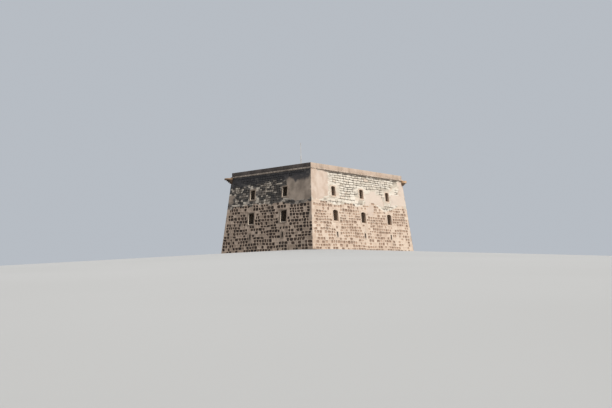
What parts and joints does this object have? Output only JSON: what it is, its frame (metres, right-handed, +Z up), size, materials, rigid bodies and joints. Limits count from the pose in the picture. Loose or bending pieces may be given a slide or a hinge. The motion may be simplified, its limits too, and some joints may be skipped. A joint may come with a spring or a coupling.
{
  "type": "square-built martello tower",
  "caption": "Hollow stone watch tower with leaning walls, arched windows, a cordon and a low parapet.",
  "frame": {"origin": "middle of the tower at ground level, under its walls", "axes": "+X along the long front, +Y from the front to the back, +Z up"},
  "size_m": [27.1, 20.04, 17.43],
  "materials": {
    "ashlar": "eroded squared blocks",
    "rubble": "coursed rubble with remains of render",
    "dressed_stone": "smooth dressed",
    "parapet_stone": "rough rendered",
    "floor_stone": "worn paving",
    "mast_paint": "weathered"
  },
  "bodies": {
    "root": {"front_ground_piers": "ashlar", "front_ground_slit_bays": "ashlar", "front_middle_piers": "ashlar", "front_middle_window_bays": "ashlar", "front_upper_piers": "rubble", "front_upper_window_bays": "rubble", "front_cordon": "dressed_stone", "front_parapet": "parapet_stone", "right_ground_piers": "ashlar", "right_ground_slit_bays": "ashlar", "right_middle_piers": "ashlar", "right_middle_window_bays": "ashlar", "right_upper_piers": "rubble", "right_upper_window_bays": "rubble", "right_cordon": "dressed_stone", "right_parapet": "parapet_stone", "back_ground_piers": "ashlar", "back_ground_slit_bays": "ashlar", "back_middle_piers": "ashlar", "back_middle_window_bays": "ashlar", "back_upper_piers": "rubble", "back_upper_window_bays": "rubble", "back_cordon": "dressed_stone", "back_parapet": "parapet_stone", "left_ground_piers": "ashlar", "left_ground_slit_bays": "ashlar", "left_middle_piers": "ashlar", "left_middle_window_bays": "ashlar", "left_upper_piers": "rubble", "left_upper_window_bays": "rubble", "left_cordon": "dressed_stone", "left_parapet": "parapet_stone", "slit_surrounds": "dressed_stone", "middle_window_surrounds": "dressed_stone", "upper_window_surrounds": "dressed_stone", "first_floor": "floor_stone", "second_floor": "floor_stone", "roof_terrace": "floor_stone", "left_corner_corbel": "dressed_stone", "right_corner_corbel": "dressed_stone", "roof_mast": "mast_paint"}
  },
  "joints": []
}
